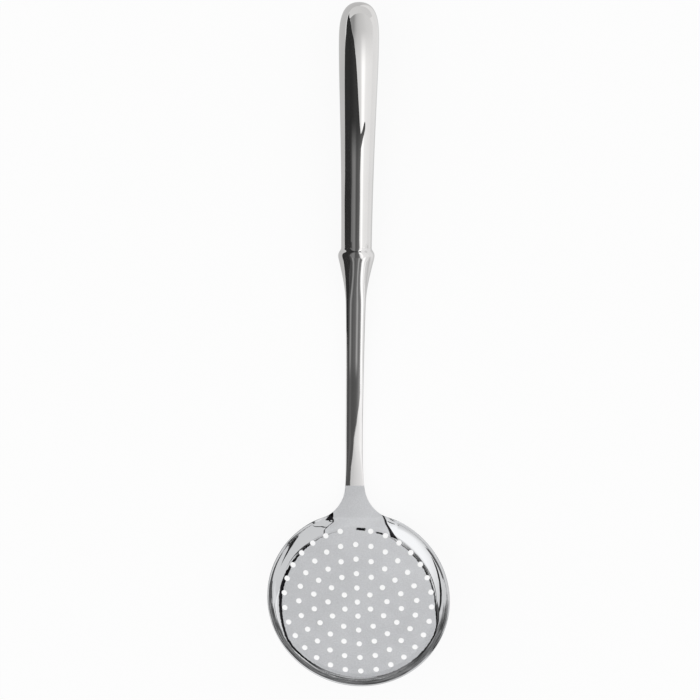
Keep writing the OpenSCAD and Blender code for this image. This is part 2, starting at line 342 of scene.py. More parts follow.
def wallShare(x, y):  # 1 where the wall is whole, 0 where the neck runs out flat
    if y <= 0:
        return 1
    return ease((abs(degrees(atan2(x, y))) - b["flatAngle"]) / (b["fanAngle"] - b["flatAngle"]))


def sheetUp(x, y, d):
    r = hypot(x, y)
    w = wallShare(x, y)
    if w >= 1:
        return dishUp(r, d)
    far = max(r, b["fan"])
    run = mix(far, y, ease((far - b["fan"]) / (b["fold"] - b["fan"])))
    rise = ((min(run, b["fold"]) - b["fan"]) * tan(radians(b["rampSlope"]))
            + max(0, run - b["fold"]) * tan(radians(b["tongueSlope"])))
    return mix(dishUp(min(r, b["fan"]), d) + rise, dishUp(r, d), w)


def blankRadii():
    fillet = [b["floor"] + b["filletRadius"] * (degSin(mix(b["floorSlope"], b["steepSlope"], i / 8)) - degSin(b["floorSlope"]))
              for i in range(9)]
    wall = [mix(b["filletEnd"], b["lipStart"], i / 4) for i in (1, 2, 3, 4)]
    lip = [b["rim"] - b["lipRadius"] * (degSin(mix(b["wallSlope"], b["lipSlope"], i / 10)) - degSin(b["lipSlope"]))
           for i in range(1, 11)]
    rings = sorted(fillet + [b["fan"]] + wall + lip)
    return [r for i, r in enumerate(rings) if i == 0 or r - rings[i - 1] > 0.06 or r == b["fan"]]


def neckOutline(angle):
    # where a column of the blank ends, by its angle from the middle of the neck
    side = 1 if angle >= 0 else -1
    a = abs(angle)
    corner, start = 7, 21  # whole columns nearest to the tongue's corner and the flare's start
    if a <= corner:
        return Vector((side * b["tongueHalf"] * a / corner, b["tongueEnd"]))
    if a <= start:
        t = (start - a) / (start - corner)
        turn = mix(90 - b["flareAngle"], degrees(acos(1 / b["flareRadius"])) - 90, t)
        return Vector((side * (b["flareX"] - b["flareRadius"] * degCos(turn)), b["flareY"] - b["flareRadius"] * degSin(turn)))
    turn = mix(b["flareAngle"], b["fanAngle"], (a - start) / (b["fanAngle"] - start))
    return Vector((side * b["rim"] * degSin(turn), b["rim"] * degCos(turn)))


def cutBlank():
    radii = blankRadii()
    startAlone()
    bpy.ops.mesh.primitive_circle_add(vertices=b["columns"], radius=36.6 * mm, fill_type="NGON", location=(0, 0, 0))
    blank = bpy.context.object
    blank.name = "bowlSheet"
    openMesh(blank, "EDGE")
    closeMesh()
    for edge in blank.data.edges:
        edge.select = True
    for face in blank.data.polygons:
        face.select = False
    bpy.ops.object.mode_set(mode="EDIT")
    last = 36.6
    for r in radii:
        bpy.ops.mesh.extrude_edges_move(TRANSFORM_OT_translate={"value": (0, 0, 0)})
        bpy.ops.transform.resize(value=(r / last, r / last, 1), center_override=(0, 0, 0))
        last = r
    closeMesh()
    for v in blank.data.vertices:  # the columns of the neck are drawn out to the tongue
        x, y = v.co.x / mm, v.co.y / mm
        r, angle = hypot(x, y), degrees(atan2(x, y))
        if r > b["fan"] + 0.001 and abs(angle) < b["fanAngle"] - 0.01:
            a = round(angle)
            inner = Vector((degSin(a), degCos(a))) * b["fan"]
            p = inner.lerp(neckOutline(a), (r - b["fan"]) / (b["rim"] - b["fan"]))
            v.co = (p.x * mm, p.y * mm, 0)
    openMesh(blank)
    closeMesh()
    for face in blank.data.polygons:
        c = face.center / mm
        face.select = len(face.vertices) == 4 and c.y > b["fan"] - 6 and abs(degrees(atan2(c.x, c.y))) < b["fanAngle"]
    bpy.ops.object.mode_set(mode="EDIT")
    bpy.ops.mesh.bisect(plane_co=(0, b["fold"] * mm, 0), plane_no=(0, 1, 0))  # the line of the fold
    closeMesh()
    for along in ((1, 0, 0), (0, 1, 0)):  # the floor is divided, so that it presses evenly
        for i in range(12):
            for face in blank.data.polygons:
                face.select = all(hypot(*blank.data.vertices[k].co.xy) < 36.61 * mm for k in face.vertices)
            bpy.ops.object.mode_set(mode="EDIT")
            bpy.ops.mesh.bisect(plane_co=Vector(along) * (i - 5.5) * 6.13 * mm, plane_no=along)
            closeMesh()
            bpy.ops.object.mode_set(mode="EDIT")
            bpy.ops.mesh.select_all(action="DESELECT")
            closeMesh()
    return blank


def thickenBlank(blank):
    applyModifier(blank, "SOLIDIFY", thickness=b["sheet"] * mm, offset=-1)
    openMesh(blank, "EDGE")
    closeMesh()
    low = -b["sheet"] * mm / 2
    for edge in blank.data.edges:
        ends = [blank.data.vertices[i].co for i in edge.vertices]
        flat = abs(ends[0].z - ends[1].z) < 1e-6
        edge.select = flat and all(onOutline(p) for p in ends) and not all(p.y > (b["tongueEnd"] - 0.001) * mm for p in ends)
    bpy.ops.object.mode_set(mode="EDIT")
    bpy.ops.mesh.bevel(offset=b["edgeSoft"] * mm, segments=3, profile=0.5, affect="EDGES")
    closeMesh()
    print("blank cut", len(blank.data.vertices), "vertices, top at", max(v.co.z for v in blank.data.vertices),
          "bottom at", min(v.co.z for v in blank.data.vertices), low)


def onOutline(p):
    x, y = p.x / mm, p.y / mm
    r, angle = hypot(x, y), abs(degrees(atan2(x, y)))
    if angle >= b["flareAngle"] - 0.3 and r > b["rim"] - 0.01:
        return True
    if y > b["tongueEnd"] - 0.01:
        return True
    return y > 45 and abs(hypot(abs(x) - b["flareX"], y - b["flareY"]) - b["flareRadius"]) < 0.02


def punchHoles(blank):
    soft, depth = b["softEdge"], b["sheet"]
    startAlone()
    bpy.ops.mesh.primitive_circle_add(vertices=b["holePoints"], radius=(b["holeRadius"] + 2 * soft) * mm,
                                      fill_type="NGON", location=(0, 0, soft * mm))
    punch = bpy.context.object
    punch.name = "punch"
    bpy.ops.object.transform_apply(location=True, rotation=True, scale=True)
    openMesh(punch)
    bpy.ops.mesh.select_all(action="SELECT")
    rounding = [(b["holeRadius"] + soft * (1 - sin(a)), -soft * (1 - cos(a))) for a in (0, radians(30), radians(60), radians(90))]
    wider = b["breakOut"]  # a punched hole breaks out wider on its under side
    steps = (rounding + [(b["holeRadius"], -depth / 4)] + [(r + wider, -depth - z) for r, z in rounding[::-1]]
             + [(b["holeRadius"] + wider + 2 * soft, -depth - soft)])
    lastRadius, lastZ = b["holeRadius"] + 2 * soft, soft
    for r, z in steps:
        bpy.ops.mesh.extrude_region_move(TRANSFORM_OT_translate={"value": (0, 0, (z - lastZ) * mm)})
        bpy.ops.transform.resize(value=(r / lastRadius, r / lastRadius, 1), center_override=(0, 0, z * mm))
        lastRadius, lastZ = r, z
    closeMesh()
    punches = []
    for ring in range(b["holeRings"] + 1):
        count = max(1, 6 * ring)
        for i in range(1 if ring == b["holeRings"] else 0, count):  # no hole at the neck
            turn = 2 * pi * i / count
            copy = punch.copy()
            copy.data = punch.data.copy()
            bpy.context.collection.objects.link(copy)
            copy.location = (ring * b["holePitch"] * sin(turn) * mm, ring * b["holePitch"] * cos(turn) * mm, 0)
            punches.append(copy)
    bpy.data.objects.remove(punch)
    startAlone()
    for copy in punches:
        copy.select_set(True)
    bpy.context.view_layer.objects.active = punches[0]
    bpy.ops.object.join()
    tool = bpy.context.object
    bpy.ops.object.transform_apply(location=True, rotation=True, scale=True)
    openMesh(tool)
    bpy.ops.mesh.select_all(action="SELECT")
    bpy.ops.mesh.normals_make_consistent(inside=False)
    closeMesh()
    applyModifier(blank, "BOOLEAN", operation="DIFFERENCE", solver="EXACT", object=tool)
    bpy.data.objects.remove(tool)
    print("holes punched,", len(blank.data.polygons), "faces")


def pressSheet(blank):
    openMesh(blank)
    bpy.ops.mesh.select_all(action="SELECT")
    bpy.ops.mesh.remove_doubles(threshold=0.000001)
    closeMesh()
    bpy.ops.object.shade_smooth_by_angle(angle=radians(40))
    mesh, depth = blank.data, b["sheet"]
    flat = {}  # vertices on the flat top or bottom keep that shading through their soft edges
    for face in mesh.polygons:
        if abs(face.normal.z) > 0.9999:
            for i in face.vertices:
                flat[i] = Vector((0, 0, 1 if face.normal.z > 0 else -1))
    step, fold = 0.02, b["fold"]
    corners = []
    for face in mesh.polygons:
        foldSide = 1 if face.center.y > fold * mm else -1
        for k in face.loop_indices:
            i = mesh.loops[k].vertex_index
            p = mesh.vertices[i].co / mm
            n = mesh.corner_normals[k].vector.copy()
            if i in flat and face.normal.dot(flat[i]) > 0.7:
                n = flat[i]
            x, y = p.x, p.y
            if abs(y - fold) < step:  # the slope is read on the face's own side of the fold
                y = fold + foldSide * step
            share = 1 + p.z / depth
            alongX = (pressedUp(x + step / 2, y, share) - pressedUp(x - step / 2, y, share)) / step
            alongY = (pressedUp(x, y + step / 2, share) - pressedUp(x, y - step / 2, share)) / step
            stretch = (sheetUp(p.x, p.y, 0) - sheetUp(p.x, p.y, depth)) / depth
            corners.append(Vector((n.x - alongX * n.z / stretch, n.y - alongY * n.z / stretch, n.z / stretch)).normalized())
    for v in mesh.vertices:
        x, y, z = v.co / mm
        v.co.z = pressedUp(x, y, 1 + z / depth) * mm
    mesh.normals_split_custom_set(corners)


def pressedUp(x, y, share):
    return mix(sheetUp(x, y, b["sheet"]), sheetUp(x, y, 0), share)


bowlSheet = cutBlank()
thickenBlank(bowlSheet)
punchHoles(bowlSheet)
pressSheet(bowlSheet)
print("bowl pressed")

for piece, place in ((gripFront, toRest), (gripRear, toRest), (shankForging, toRest), (bowlSheet, toHead)):
    piece.data.transform(place)
    piece.data.update()


# ---- finishes

def newMaterial(name):
    material = bpy.data.materials.new(name)
    material.use_nodes = True
    tree = material.node_tree
    return material, tree, tree.nodes["Principled BSDF"]


def wire(tree, source, output, target, entry):
    tree.links.new(source.outputs[output], target.inputs[entry])


def noiseNode(tree, coords, scale, stretch=(1, 1, 1), detail=3.0, roughness=0.55):
    mapping = tree.nodes.new("ShaderNodeMapping")
    mapping.inputs["Scale"].default_value = stretch
    wire(tree, coords, "Object", mapping, "Vector")
    noise = tree.nodes.new("ShaderNodeTexNoise")
    noise.inputs["Scale"].default_value = scale
    noise.inputs["Detail"].default_value = detail
    noise.inputs["Roughness"].default_value = roughness
    wire(tree, mapping, "Vector", noise, "Vector")
    return noise


def rangeNode(tree, source, output, low, high, fromLow=0.3, fromHigh=0.7):
    node = tree.nodes.new("ShaderNodeMapRange")
    node.inputs["From Min"].default_value = fromLow
    node.inputs["From Max"].default_value = fromHigh
    node.inputs["To Min"].default_value = low
    node.inputs["To Max"].default_value = high
    wire(tree, source, output, node, "Value")
    return node


def tintNode(tree, source, output, dark, light):
    ramp = tree.nodes.new("ShaderNodeValToRGB")
    ramp.color_ramp.elements[0].position, ramp.color_ramp.elements[1].position = 0.3, 0.7
    ramp.color_ramp.elements[0].color = (*dark, 1)
    ramp.color_ramp.elements[1].color = (*light, 1)
    wire(tree, source, output, ramp, "Fac")
    return ramp


def bumpNode(tree, source, output, strength, distance):
    bump = tree.nodes.new("ShaderNodeBump")
    bump.inputs["Strength"].default_value = strength
    bump.inputs["Distance"].default_value = distance
    wire(tree, source, output, bump, "Height")
    return bump


def mathNode(tree, operation, first, second=None, clamp=False):
    node = tree.nodes.new("ShaderNodeMath")
    node.operation = operation
    node.use_clamp = clamp
    for entry, value in enumerate((first, second)):
        if value is None:
            continue
        if isinstance(value, (int, float)):
            node.inputs[entry].default_value = value
        else:
            tree.links.new(value, node.inputs[entry])
    return node.outputs["Value"]


def smoothNode(tree, value, start, end, low=0.0, high=1.0):
    node = tree.nodes.new("ShaderNodeMapRange")
    node.interpolation_type = "SMOOTHSTEP"
    for entry, number in zip(("From Min", "From Max", "To Min", "To Max"), (start, end, low, high)):
        if isinstance(number, (int, float)):
            node.inputs[entry].default_value = number
        else:
            tree.links.new(number, node.inputs[entry])
    tree.links.new(value, node.inputs["Value"])
    return node.outputs["Result"]


def polishedSteel(name, finish):
    material, tree, shader = newMaterial(name)
    shader.inputs["Metallic"].default_value = 1
    coords = tree.nodes.new("ShaderNodeTexCoord")
    cloud = noiseNode(tree, coords, 60, (1, 0.5, 1), 4)
    streaks = noiseNode(tree, coords, finish["streaks"], (1, 0.02, 1), 5)
    waves = noiseNode(tree, coords, finish["waves"], (1, 0.12, 1), 2)
    wire(tree, tintNode(tree, cloud, "Fac", finish["dark"], finish["light"]), "Color", shader, "Base Color")
    wire(tree, rangeNode(tree, streaks, "Fac", *finish["rough"]), "Result", shader, "Roughness")
    wavy = bumpNode(tree, waves, "Fac", finish["waveStrength"], 0.0004)
    fine = bumpNode(tree, streaks, "Fac", finish["streakStrength"], 0.00002)
    wire(tree, wavy, "Normal", fine, "Normal")
    wire(tree, fine, "Normal", shader, "Normal")
    return material


gripFinish = {
    "dark": (0.70, 0.688, 0.680), "light": (0.74, 0.732, 0.724), "rough": (0.03, 0.06),
    "streaks": 900, "streakStrength": 0.08, "waves": 70, "waveStrength": 0.02,
}
shankFinish = {
    "dark": (0.68, 0.67, 0.665), "light": (0.74, 0.732, 0.728), "rough": (0.04, 0.07),
    "streaks": 1400, "streakStrength": 0.15, "waves": 220, "waveStrength": 0.06,
}
bowlFinish = {
    "dark": (0.69, 0.697, 0.71), "light": (0.72, 0.727, 0.74),
    "satinDark": (0.772, 0.779, 0.794), "satinLight": (0.822, 0.829, 0.844), "towardsTip": (1.09, 0.968),
    "satinRough": 0.72, "wallRough": 0.035, "grain": 1500, "grainDepth": 0.05,
    # the last colour here is the near-black of the painted dark reflection lines on the bowl
    "turning": 0.9, "turningStrength": 1.3, "paintedReflectionTone": (0.02, 0.02, 0.022),
    # by the angle from the neck: radius where the satin ends, half width of the painted dark reflection line along it,
    # and that line's strength
    "edge": [(-180, 44.9, 0.3, 0.15), (-157, 45.2, 0.45, 0.6), (-142, 45.5, 0.6, 1), (-127, 46.05, 0.7, 1), (-119, 45.7, 0.8, 1),
             (-110, 44.3, 0.85, 1), (-100, 43.2, 0.95, 1), (-90, 42.6, 1.05, 1), (-80, 42.1, 1.1, 1), (-70, 41.6, 0.95, 1),
             (-60, 41.15, 0.65, 1), (-50, 40.95, 0.5, 1), (-40, 40.8, 0.3, 1), (-28, 40.7, 0.2, 0.5), (-10, 40.6, 0.2, 0),
             (0.5, 40.8, 0.7, 0), (1.2, 40.8, 0.75, 1), (7.2, 40.9, 0.75, 1), (8.2, 40.9, 0.4, 0), (15.5, 40.6, 0.4, 0),
             (16.5, 40.4, 0.4, 1), (21, 40.7, 0.5, 1), (24, 40.7, 0.4, 0), (38, 40.4, 0.2, 0.7), (55, 40.5, 0.28, 0.9),
             (70, 41.2, 0.36, 1), (85, 42.0, 0.34, 1), (97, 42.7, 0.36, 1), (104, 43.8, 0.36, 1), (110, 45.0, 0.33, 1),
             (118, 45.8, 0.33, 1), (180, 44.9, 0.3, 0.15)],
    # by the radius: angles where the satin of the neck ends, and how wide the painted dark reflection beside it is, in
    # degrees
    "neckLeft": [(38, -28, 0.2), (42, -24, 0.9), (43.5, -23, 0.9), (45, -18.5, 1.0), (46, -15, 1.1), (47.2, -14.5, 1.2),
                 (47.7, -14.8, 4.4), (48.2, -14.8, 5.6), (49.2, -14.3, 4.2), (50.2, -14, 2.8), (51.5, -14, 1.2), (60, -14, 0.0)],
    "neckRight": [(38, 30, 0), (41.0, 28, 0.5), (41.6, 27.2, 7.0), (42.4, 26.4, 5.4), (43, 25.5, 4.2), (44, 24, 3.1), (45, 22.5, 2.5),
                  (46, 21, 2.1), (47, 20, 1.7), (48, 19.3, 1.6), (49.5, 17.8, 1.3), (51, 16, 0.6), (60, 16, 0)],
}

gripSteel = polishedSteel("gripSteel", gripFinish)
shankSteel = polishedSteel("shankSteel", shankFinish)


def satinSteel(f):
    material, tree, shader = newMaterial("satinSteel")
    shader.inputs["Metallic"].default_value = 1
    coords = tree.nodes.new("ShaderNodeTexCoord")
    cloud = noiseNode(tree, coords, 45, (1, 1, 1), 5)
    grain = noiseNode(tree, coords, f["grain"], (1, 1, 1), 2, 0.6)
    onBowl = toHead.inverted()  # the pattern is laid out from the middle of the dish
    mapping = tree.nodes.new("ShaderNodeMapping")
    mapping.inputs["Location"].default_value = onBowl.translation * 1000
    mapping.inputs["Rotation"].default_value = onBowl.to_euler()
    mapping.inputs["Scale"].default_value = (1000, 1000, 1000)
    wire(tree, coords, "Object", mapping, "Vector")
    split = tree.nodes.new("ShaderNodeSeparateXYZ")
    wire(tree, mapping, "Vector", split, "Vector")
    x, y = split.outputs["X"], split.outputs["Y"]
    radius = mathNode(tree, "SQRT", mathNode(tree, "ADD", mathNode(tree, "MULTIPLY", x, x), mathNode(tree, "MULTIPLY", y, y)))
    angle = mathNode(tree, "MULTIPLY", mathNode(tree, "ARCTAN2", x, y), 180 / pi)
    ragged = rangeNode(tree, noiseNode(tree, coords, 700, (1, 1, 1), 3), "Fac", -0.2, 0.2)
    wander = mathNode(tree, "ADD", radius, ragged.outputs["Result"])
    edge, halfWidth, strength = (curveNode(tree, angle, [(row[0], row[k]) for row in f["edge"]]) for k in (1, 2, 3))
    fromEdge = mathNode(tree, "SUBTRACT", wander, edge)
    dish = smoothNode(tree, fromEdge, -0.15, 0.15, 1.0, 0.0)
    # beside each satin edge of the neck a dark band is painted into the colour, standing in for the dark reflections of
    # the flare
    inside, paintedNeckDarkSides = [], []
    for side, rows in ((-1, f["neckLeft"]), (1, f["neckRight"])):
        neckEdge, width = (curveNode(tree, radius, [(row[0], row[k]) for row in rows]) for k in (1, 2))
        past = mathNode(tree, "MULTIPLY", mathNode(tree, "SUBTRACT", angle, neckEdge), side)
        inside.append(smoothNode(tree, past, -0.3, 0.3, 1.0, 0.0))
        shown = smoothNode(tree, mathNode(tree, "SUBTRACT", past, width), -0.25, 0.25, 1.0, 0.0)
        paintedNeckDarkSides.append(mathNode(tree, "MULTIPLY", mathNode(tree, "SUBTRACT", shown, inside[-1], True), smoothNode(tree, width, 0.1, 0.6)))
    neck = mathNode(tree, "MULTIPLY", *inside)
    satin = mathNode(tree, "MAXIMUM", dish, neck)
    polished = tintNode(tree, cloud, "Fac", f["dark"], f["light"])
    matt = tintNode(tree, cloud, "Fac", f["satinDark"], f["satinLight"])
    blend = tree.nodes.new("ShaderNodeMix")
    blend.data_type = "RGBA"
    tree.links.new(satin, blend.inputs["Factor"])
    tree.links.new(polished.outputs["Color"], blend.inputs[6])
    tree.links.new(matt.outputs["Color"], blend.inputs[7])
    # painted reflection: a near-black line in the base colour along the satin edge and between the outer holes stands
    # in for the dark reflections in the polished fillet
    distanceFromPaintedLine = mathNode(tree, "ABSOLUTE", fromEdge)
    line = smoothNode(tree, distanceFromPaintedLine, mathNode(tree, "MULTIPLY", halfWidth, 0.8), mathNode(tree, "ADD", halfWidth, 0.06), 1.0, 0.0)
    # painted reflection: the dark bands beside the neck, outside the dish's satin
    paintedNeckDark = mathNode(tree, "MULTIPLY", mathNode(tree, "ADD", paintedNeckDarkSides[0], paintedNeckDarkSides[1], True), smoothNode(tree, fromEdge, 0.0, 0.3))
    dark = mathNode(tree, "MAXIMUM", mathNode(tree, "MULTIPLY", line, strength), paintedNeckDark)
    facing = tree.nodes.new("ShaderNodeVectorMath")  # the painted dark reflection line is on the hollow side only
    facing.operation = "DOT_PRODUCT"
    wire(tree, coords, "Normal", facing, "Vector")
    facing.inputs[1].default_value = toHead.to_3x3() @ Vector((0, 0, 1))
    dark = mathNode(tree, "MULTIPLY", dark, smoothNode(tree, facing.outputs["Value"], 0.2, 0.4))
    grainTone = rangeNode(tree, grain, "Fac", 1 - f["grainDepth"], 1 + f["grainDepth"])
    speckled = tree.nodes.new("ShaderNodeVectorMath")
    speckled.operation = "SCALE"
    tree.links.new(blend.outputs[2], speckled.inputs[0])
    tone = mathNode(tree, "MULTIPLY", grainTone.outputs["Result"], smoothNode(tree, y, -45, 45, *f["towardsTip"]))
    tree.links.new(mathNode(tree, "ADD", mathNode(tree, "MULTIPLY", mathNode(tree, "SUBTRACT", tone, 1.0), satin), 1.0),
                   speckled.inputs["Scale"])
    # the painted dark reflection lines take the place of the metal's colour here
    paintedReflectionMix = tree.nodes.new("ShaderNodeMix")
    paintedReflectionMix.data_type = "RGBA"
    tree.links.new(dark, paintedReflectionMix.inputs["Factor"])
    tree.links.new(speckled.outputs["Vector"], paintedReflectionMix.inputs[6])
    paintedReflectionMix.inputs[7].default_value = (*f["paintedReflectionTone"], 1)
    tree.links.new(paintedReflectionMix.outputs[2], shader.inputs["Base Color"])
    rough = smoothNode(tree, satin, 0, 1, f["wallRough"], f["satinRough"])
    tree.links.new(mathNode(tree, "ADD", rough, rangeNode(tree, grain, "Fac", -0.02, 0.02).outputs["Result"]), shader.inputs["Roughness"])
    around = tree.nodes.new("ShaderNodeCombineXYZ")  # fine lines that run round the wall and the lip
    tree.links.new(radius, around.inputs["X"])
    tree.links.new(mathNode(tree, "MULTIPLY", angle, 0.02), around.inputs["Y"])
    onLip = mathNode(tree, "MULTIPLY", smoothNode(tree, radius, 45.6, 46.4), mathNode(tree, "SUBTRACT", 1.0, satin))
    onLip = mathNode(tree, "MULTIPLY", onLip, smoothNode(tree, mathNode(tree, "ABSOLUTE", angle), 80, 98))
    turned = tree.nodes.new("ShaderNodeTexNoise")
    turned.inputs["Scale"].default_value = f["turning"]
    turned.inputs["Detail"].default_value = 2
    wire(tree, around, "Vector", turned, "Vector")
    lines = bumpNode(tree, turned, "Fac", 1, 0.0001)
    tree.links.new(mathNode(tree, "MULTIPLY", onLip, f["turningStrength"]), lines.inputs["Strength"])
    bump = bumpNode(tree, grain, "Fac", 0.25, 0.00005)
    tree.links.new(mathNode(tree, "MULTIPLY", satin, 0.3), bump.inputs["Strength"])
    wire(tree, lines, "Normal", bump, "Normal")
    wire(tree, bump, "Normal", shader, "Normal")
    return material


def curveNode(tree, value, points):  # a straight-lined curve through the points
    low, high = min(p[1] for p in points), max(p[1] for p in points)
    start, end = points[0][0], points[-1][0]
    place = tree.nodes.new("ShaderNodeMapRange")
    place.inputs["From Min"].default_value, place.inputs["From Max"].default_value = start, end
    tree.links.new(value, place.inputs["Value"])
    ramp = tree.nodes.new("ShaderNodeValToRGB")
    while len(ramp.color_ramp.elements) < len(points):
        ramp.color_ramp.elements.new(0.5)
    for element, (at, level) in zip(ramp.color_ramp.elements, points):
        element.position = (at - start) / (end - start)
        element.color = ((level - low) / max(1e-6, high - low),) * 3 + (1,)
    tree.links.new(place.outputs["Result"], ramp.inputs["Fac"])
    spread = tree.nodes.new("ShaderNodeMapRange")
    spread.inputs["To Min"].default_value, spread.inputs["To Max"].default_value = low, high
    tree.links.new(ramp.outputs["Color"], spread.inputs["Value"])
    return spread.outputs["Result"]


bowlSteel = satinSteel(bowlFinish)
for piece, material in ((gripFront, gripSteel), (gripRear, gripSteel), (shankForging, shankSteel), (bowlSheet, bowlSteel)):
    piece.data.materials.clear()
    piece.data.materials.append(material)
print("finishes made")

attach(gripFront, "root")
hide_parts("grip_front_shell")
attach(gripRear, "root")
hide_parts("grip_rear_shell")
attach(shankForging, "root")
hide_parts("shank")
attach(bowlSheet, "root")
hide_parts("bowl")


# table, studio and camera

studio = {
    "floorSize": 3.0, "floorColour": 0.9, "floorGlow": 0.88, "paperInMetal": 0.645, "paperByGrip": 1.0,
    "paleSky": 0.82, "whiteSky": 1.3, "brightest": 1.5,
}


def layTable():
    startAlone()
    bpy.ops.mesh.primitive_plane_add(size=studio["floorSize"], location=(0, 0, 0))
    table = bpy.context.object
    table.name = "table"
    material, tree, shader = newMaterial("tablePaper")
    shader.inputs["Base Color"].default_value = (studio["floorColour"],) * 3 + (1,)
    shader.inputs["Roughness"].default_value = 0.9
    shader.inputs["Specular IOR Level"].default_value = 0
    rays = tree.nodes.new("ShaderNodeLightPath")
    seenInMetal = mathNode(tree, "ADD", rays.outputs["Is Glossy Ray"], rays.outputs["Is Transmission Ray"], True)
    paper = tree.nodes.new("ShaderNodeMix")
    paper.data_type = "RGBA"
    tree.links.new(seenInMetal, paper.inputs["Factor"])
    paper.inputs[6].default_value = (1, 1, 1, 1)
    coords = tree.nodes.new("ShaderNodeTexCoord")
    split = tree.nodes.new("ShaderNodeSeparateXYZ")
    wire(tree, coords, "Object", split, "Vector")
    right = mathNode(tree, "MULTIPLY", smoothNode(tree, split.outputs["X"], 0.01, 0.04), smoothNode(tree, split.outputs["Y"], 0.0, 0.05))
    metal = mathNode(tree, "MULTIPLY_ADD", right, studio["paperByGrip"] - studio["paperInMetal"])
    metal.node.inputs[2].default_value = studio["paperInMetal"]
    tree.links.new(metal, paper.inputs[7])
    glow = tree.nodes.new("ShaderNodeEmission")
    tree.links.new(paper.outputs[2], glow.inputs["Color"])
    seen = mathNode(tree, "ADD", seenInMetal, rays.outputs["Is Camera Ray"], True)
    blend = tree.nodes.new("ShaderNodeMixShader")
    tree.links.new(mathNode(tree, "MULTIPLY", seen, studio["floorGlow"]), blend.inputs["Fac"])
    tree.links.new(shader.outputs["BSDF"], blend.inputs[1])
    tree.links.new(glow.outputs["Emission"], blend.inputs[2])
    wire(tree, blend, "Shader", tree.nodes["Material Output"], "Surface")
    table.data.materials.append(material)
    return table


def toneRamp(tree, value, stops):
    low, high = stops[0][0], stops[-1][0]
    place = tree.nodes.new("ShaderNodeMapRange")
    place.inputs["From Min"].default_value, place.inputs["From Max"].default_value = low, high
    tree.links.new(value, place.inputs["Value"])
    ramp = tree.nodes.new("ShaderNodeValToRGB")
    while len(ramp.color_ramp.elements) < len(stops):
        ramp.color_ramp.elements.new(0.5)
    for element, (at, tone) in zip(ramp.color_ramp.elements, stops):
        element.position = (at - low) / (high - low)
        element.color = (tone / studio["brightest"],) * 3 + (1,)
    tree.links.new(place.outputs["Result"], ramp.inputs["Fac"])
    return ramp.outputs["Color"]


def mixTones(tree, factor, first, second):
    blend = tree.nodes.new("ShaderNodeMix")
    blend.data_type = "RGBA"
    tree.links.new(factor, blend.inputs["Factor"])
    tree.links.new(first, blend.inputs[6])
    tree.links.new(second, blend.inputs[7])
    return blend.outputs[2]


def toneCard(name, corners, flatAlong, height, across, tones, otherTones=None, change=None, oneSided=False):
    # a studio card that only the metal sees: its tones run along the direction "across"
    startAlone()
    bpy.ops.mesh.primitive_circle_add(vertices=len(corners), radius=0.1, fill_type="NGON", location=(0, 0, 0))
    card = bpy.context.object
    card.name = name
    for v, (p, q) in zip(card.data.vertices, corners):
        v.co = {"X": (height, p, q), "Y": (p, height, q), "Z": (p, q, height)}[flatAlong]
    material, tree, shader = newMaterial(name + "Tones")
    tree.nodes.remove(shader)
    coords = tree.nodes.new("ShaderNodeTexCoord")
    dot = tree.nodes.new("ShaderNodeVectorMath")
    dot.operation = "DOT_PRODUCT"
    wire(tree, coords, "Object", dot, "Vector")
    dot.inputs[1].default_value = across
    colour = toneRamp(tree, dot.outputs["Value"], tones)
    if otherTones:
        split = tree.nodes.new("ShaderNodeSeparateXYZ")
        wire(tree, coords, "Object", split, "Vector")
        colour = mixTones(tree, smoothNode(tree, split.outputs["Y"], *change), toneRamp(tree, dot.outputs["Value"], otherTones), colour)
    glow = tree.nodes.new("ShaderNodeEmission")
    tree.links.new(colour, glow.inputs["Color"])
    glow.inputs["Strength"].default_value = studio["brightest"]
    end = tree.nodes["Material Output"]
    if oneSided:
        clear = tree.nodes.new("ShaderNodeBsdfTransparent")
        side = tree.nodes.new("ShaderNodeNewGeometry")
        pick = tree.nodes.new("ShaderNodeMixShader")
        wire(tree, side, "Backfacing", pick, "Fac")
        tree.links.new(glow.outputs["Emission"], pick.inputs[1])
        tree.links.new(clear.outputs["BSDF"], pick.inputs[2])
        wire(tree, pick, "Shader", end, "Surface")
    else:
        wire(tree, glow, "Emission", end, "Surface")
    card.data.materials.append(material)
    card.visible_camera = card.visible_diffuse = card.visible_shadow = card.visible_transmission = False
    return card


